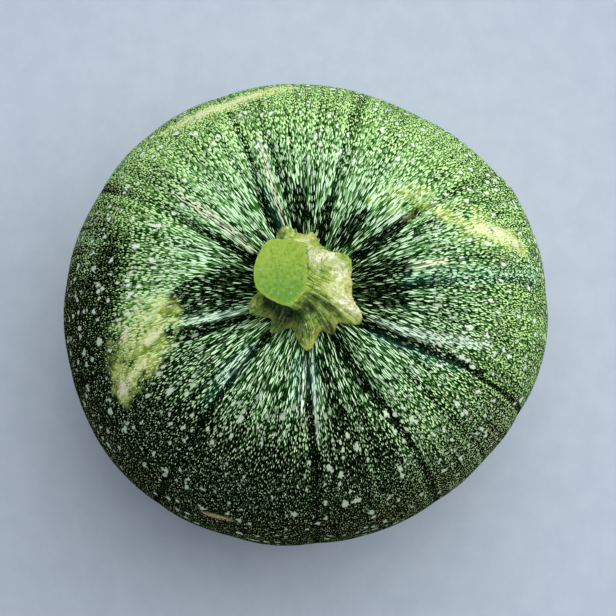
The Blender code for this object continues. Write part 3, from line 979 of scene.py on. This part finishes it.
def stem_material(grain):
    material, shader, shading = new_material("ridged_stem", 0.45, 0.3)
    place = shading.add("ShaderNodeTexCoord", {}).outputs["Object"]
    in_mm = shading.scaled(place, 1 / MM)
    direction = shading.joined(shading.painted("spin_x"), shading.painted("spin_y"), 0.0)
    rise = shading.painted("rise")
    hollow = shading.painted("hollow")
    striae = stretched_grain(shading, grain, direction, rise, 15.0, 2.0, 1.5, 0.0)
    fibres = stretched_grain(shading, grain, direction, rise, 36.0, 4.0, 2.0, 7.0)
    mottle = shading.noise(in_mm, 0.75, 3.0)
    specks = shading.noise(in_mm, 1.3, 3.0, 0.7)
    broad = shading.noise(in_mm, 0.28, 1.0)

    side = shading.blend(shading.step(mottle, 0.38, 0.6), STEM_GREEN, STEM_YELLOW)
    # The glints are painted highlights: under them the side turns straw yellow, with fewer dark lines, and
    # cream on the knobs
    glint = shading.painted("glint")
    highlight_straw = shading.step(glint, 0.02, 0.4)
    side = shading.blend(shading.times(highlight_straw, 0.75), side, STEM_HIGHLIGHT_STRAW)
    side = shading.blend(shading.step(fibres, 0.52, 0.68, 0.0, 0.6), side, STEM_FIBRE)
    dark = shading.step(fibres, 0.46, 0.34, 0.0, 0.7)
    dark = shading.times(dark, shading.step(glint, 0.6, 0.05, 0.2, 1.0))
    side = shading.blend(dark, side, STEM_DARK_FIBRE_AND_SHADE)
    side = shading.blend(shading.step(rise, 0.8, 0.98, 0.0, 0.85), side, CUT_YELLOW)
    rim = shading.times(shading.step(rise, 0.18, 0.02), shading.step(broad, 0.46, 0.6, 0.0, 0.5))
    side = shading.blend(rim, side, STEM_AMBER)
    grooved = shading.times(shading.step(striae, 0.46, 0.36), shading.step(rise, 0.08, 0.35, 0.1, 0.75))
    grooved = shading.times(grooved, shading.step(glint, 0.5, 0.05, 0.25, 1.0))
    side = shading.blend(grooved, side, STEM_DARK_FIBRE_AND_SHADE)
    # Painted shade in the hollows, broken by the striae
    shade = shading.times(hollow, shading.step(striae, 0.62, 0.5, 0.72, 1.0))
    side = shading.blend(shade, side, STEM_DARK_FIBRE_AND_SHADE)
    knobs = shading.noise(in_mm, 1.0, 2.5, 0.65)
    # Cream painted highlight on the knobs under the glints
    highlight_cream = shading.times(shading.step(glint, 0.1, 0.8), shading.step(knobs, 0.42, 0.6, 0.1, 1.0))
    side = shading.blend(highlight_cream, side, STEM_CREAM)
    lit = shading.number("SUBTRACT", 1.0, shading.times(hollow, 0.7))
    light_specks = shading.times(shading.step(specks, 0.54, 0.7, 0.0, 0.6), lit)
    side = shading.blend(light_specks, side, STEM_CREAM)
    side = shading.blend(shading.step(specks, 0.44, 0.32, 0.0, 0.6), side, STEM_DIM)

    lengthwise = shading.add("ShaderNodeSeparateXYZ", {0: in_mm}).outputs[1]
    high = shading.number("MULTIPLY_ADD", shading.number("SUBTRACT", mottle, 0.5), 9.0, lengthwise)
    cut = shading.blend(shading.step(high, -3.0, 8.0), CUT_GREEN, CUT_YELLOW)
    cut = shading.blend(shading.step(specks, 0.48, 0.34, 0.0, 0.5), cut, CUT_DARK)
    cut = shading.blend(shading.step(specks, 0.52, 0.7, 0.0, 0.45), cut, CUT_PITH)
    cut = shading.blend(shading.step(shading.painted("cut_reach"), 0.88, 0.99, 0.0, 0.5), cut, CUT_YELLOW)
    colour = shading.blend(shading.painted("cut"), side, cut)
    material.node_tree.links.new(colour, shader.inputs["Base Color"])
    rough = shading.number("ADD", striae, shading.times(knobs, 0.8))
    height = shading.between(shading.painted("cut"), rough, specks)
    bump = shading.add("ShaderNodeBump", {"Height": height, "Strength": 0.6, "Distance": 0.0005})
    material.node_tree.links.new(bump.outputs[0], shader.inputs["Normal"])
    return material


CAMERA_ELEVATION = math.radians(82)
CAMERA_DISTANCE = 0.50
CAMERA_TARGET = Vector((0.5, 1.1, 45)) * MM
VIEW_WIDTH = 131.2 * MM
SENSOR_WIDTH = 36


def add_camera():
    data = bpy.data.cameras.new("camera")
    data.sensor_width = SENSOR_WIDTH
    data.lens = SENSOR_WIDTH * CAMERA_DISTANCE / VIEW_WIDTH
    camera = bpy.data.objects.new("camera", data)
    camera.location = CAMERA_TARGET + CAMERA_DISTANCE * Vector(
        (0, -math.cos(CAMERA_ELEVATION), math.sin(CAMERA_ELEVATION))
    )
    camera.rotation_euler = (math.pi / 2 - CAMERA_ELEVATION, 0, 0)
    bpy.context.scene.collection.objects.link(camera)
    bpy.context.scene.camera = camera


def add_soft_light(name, azimuth, elevation, distance, size, power, colour):
    """A square soft box that faces the fruit."""
    data = bpy.data.lights.new(name, "AREA")
    data.size = size
    data.energy = power
    data.color = colour
    light = bpy.data.objects.new(name, data)
    azimuth = math.radians(azimuth)
    elevation = math.radians(elevation)
    direction = polar(azimuth, math.cos(elevation)).to_3d()
    direction.z = math.sin(elevation)
    light.location = direction * distance
    light.rotation_euler = direction.to_track_quat("Z", "Y").to_euler()
    bpy.context.scene.collection.objects.link(light)


FLOOR_SIZE = 3.0
FLOOR_COLOUR = (0.53, 0.595, 0.7, 1)
FLOOR_SHADE = (0.49, 0.555, 0.66, 1)
FLOOR_FALLOFF_SHADE = (0.2, 0.22, 0.28, 1)


def add_floor():
    half = FLOOR_SIZE / 2
    mesh = bpy.data.meshes.new("floor")
    corners = [(-half, -half, 0), (half, -half, 0), (half, half, 0), (-half, half, 0)]
    mesh.from_pydata(corners, [], [(0, 1, 2, 3)])
    floor = bpy.data.objects.new("floor", mesh)
    bpy.context.scene.collection.objects.link(floor)
    material, shader, shading = new_material("pale_floor", 0.75, 0.3)
    place = shading.add("ShaderNodeTexCoord", {}).outputs["Object"]
    cloud = shading.noise(place, 160.0, 5.0, 0.65)
    colour = shading.blend(shading.step(cloud, 0.3, 0.7), FLOOR_SHADE, FLOOR_COLOUR)
    # Painted shade: the floor darkens away from the fruit, as the light falls off
    falloff_shade = shading.step(shading.length(place), 0.04, 0.12, 0.0, 0.16)
    colour = shading.blend(falloff_shade, colour, FLOOR_FALLOFF_SHADE)
    material.node_tree.links.new(colour, shader.inputs["Base Color"])
    mesh.materials.append(material)


def add_daylight(strength, colour):
    world = bpy.data.worlds.new("daylight")
    world.use_nodes = True
    background = world.node_tree.nodes["Background"]
    background.inputs["Color"].default_value = colour
    background.inputs["Strength"].default_value = strength
    bpy.context.scene.world = world


def main():
    grain = stretched_grain_group()
    rind = add_rind()
    rind.data.materials.append(rind_material(grain))
    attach(rind, "root")
    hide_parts("fruit")
    stem = add_stem(rind)
    stem.data.materials.append(stem_material(grain))
    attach(stem, "root")
    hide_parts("stem")
    add_floor()
    add_camera()
    add_soft_light(
        "key", azimuth=46, elevation=62, distance=1.05, size=1.4, power=14.5, colour=(1.0, 0.99, 0.97)
    )
    add_daylight(strength=0.35, colour=(0.86, 0.93, 1.0, 1))
    bpy.context.scene.view_settings.view_transform = "Standard"


main()
